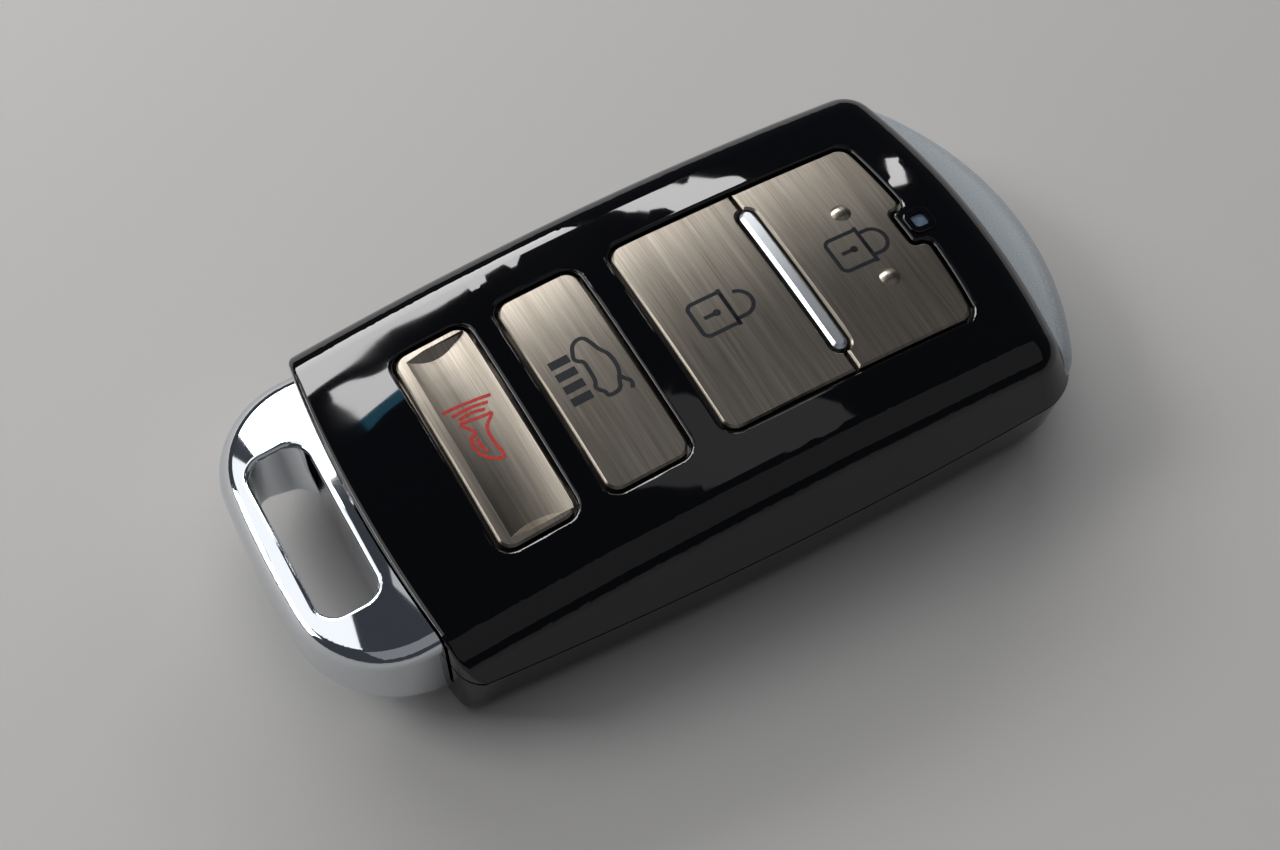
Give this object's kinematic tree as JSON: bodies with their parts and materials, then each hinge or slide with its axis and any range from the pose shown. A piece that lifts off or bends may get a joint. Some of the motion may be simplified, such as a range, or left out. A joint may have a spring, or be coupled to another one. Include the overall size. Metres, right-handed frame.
{
  "type": "car key fob",
  "caption": "Smart car key fob: gloss shells, brushed metal button caps, status light, and a chrome loop that pulls out as the emergency key.",
  "frame": {"origin": "middle of the fob's length and width, on the flat back that it rests on", "axes": "+X from the chrome key loop towards the far end with the silver trim, +Y to one long side, +Z out of the button side"},
  "size_m": [0.0782, 0.04, 0.0151],
  "materials": {
    "gloss_shell": "piano-black gloss lacquer over moulded ABS",
    "cap_metal": "brushed champagne metal skin with printed symbols",
    "satin_silver": "satin silver paint on plastic",
    "chrome_trim": "bright chrome plate",
    "chrome": "mirror chrome plate on die-cast zinc",
    "lens": "smoked light pipe",
    "membrane": "moulded silicone",
    "board": "solder-masked glass epoxy",
    "switch_case": "tinned switch cover",
    "coil": "enamelled wire on a ferrite core",
    "cell": "nickel-plated can",
    "contact": "nickel-plated spring steel",
    "inner_plastic": "moulded glass-filled nylon",
    "chip": "moulded epoxy package",
    "blade_steel": "nickel-plated steel"
  },
  "bodies": {
    "housing": {"front_shell": "gloss_shell", "rear_shell": "gloss_shell", "end_trim": "satin_silver", "divider_bar": "chrome_trim", "led_lens": "lens", "keypad_membrane": "membrane", "circuit_board": "board", "switch_bodies": "switch_case", "antenna_coil": "coil", "coin_cell": "cell", "battery_contact_negative": "contact", "battery_contact_positive": "contact", "inner_frame": "inner_plastic", "controller_chip": "chip", "radio_chip": "chip", "timing_crystal": "cell", "status_led": "lens", "latch_spring": "contact"},
    "lock": {"lock_button": "cap_metal", "lock_switch_plunger": "inner_plastic"},
    "unlock": {"unlock_button": "cap_metal", "unlock_switch_plunger": "inner_plastic"},
    "boot": {"boot_button": "cap_metal", "boot_switch_plunger": "inner_plastic"},
    "panic": {"panic_button": "cap_metal", "panic_switch_plunger": "inner_plastic"},
    "key": {"key_head": "chrome", "key_blade": "blade_steel", "key_pin": "blade_steel"},
    "release": {"release_button": "gloss_shell"}
  },
  "joints": [
    {"name": "lock_press", "type": "slide", "parent": "housing", "child": "lock", "axis": [0, 0, -1], "range_m": [0, 0.00035], "stiffness_N_per_m": 500, "deforming": ["keypad_membrane"]},
    {"name": "unlock_press", "type": "slide", "parent": "housing", "child": "unlock", "axis": [0, 0, -1], "range_m": [0, 0.00035], "stiffness_N_per_m": 500},
    {"name": "boot_press", "type": "slide", "parent": "housing", "child": "boot", "axis": [0, 0, -1], "range_m": [0, 0.00035], "stiffness_N_per_m": 500},
    {"name": "panic_press", "type": "slide", "parent": "housing", "child": "panic", "axis": [0, 0, -1], "range_m": [0, 0.00035], "stiffness_N_per_m": 500},
    {"name": "key_pull", "type": "slide", "parent": "housing", "child": "key", "axis": [-1, 0, 0], "range_m": [0, 0.042]},
    {"name": "release_press", "type": "slide", "parent": "housing", "child": "release", "axis": [0, 0, 1], "range_m": [0, 0.0005], "stiffness_N_per_m": 500, "deforming": ["latch_spring"]}
  ]
}
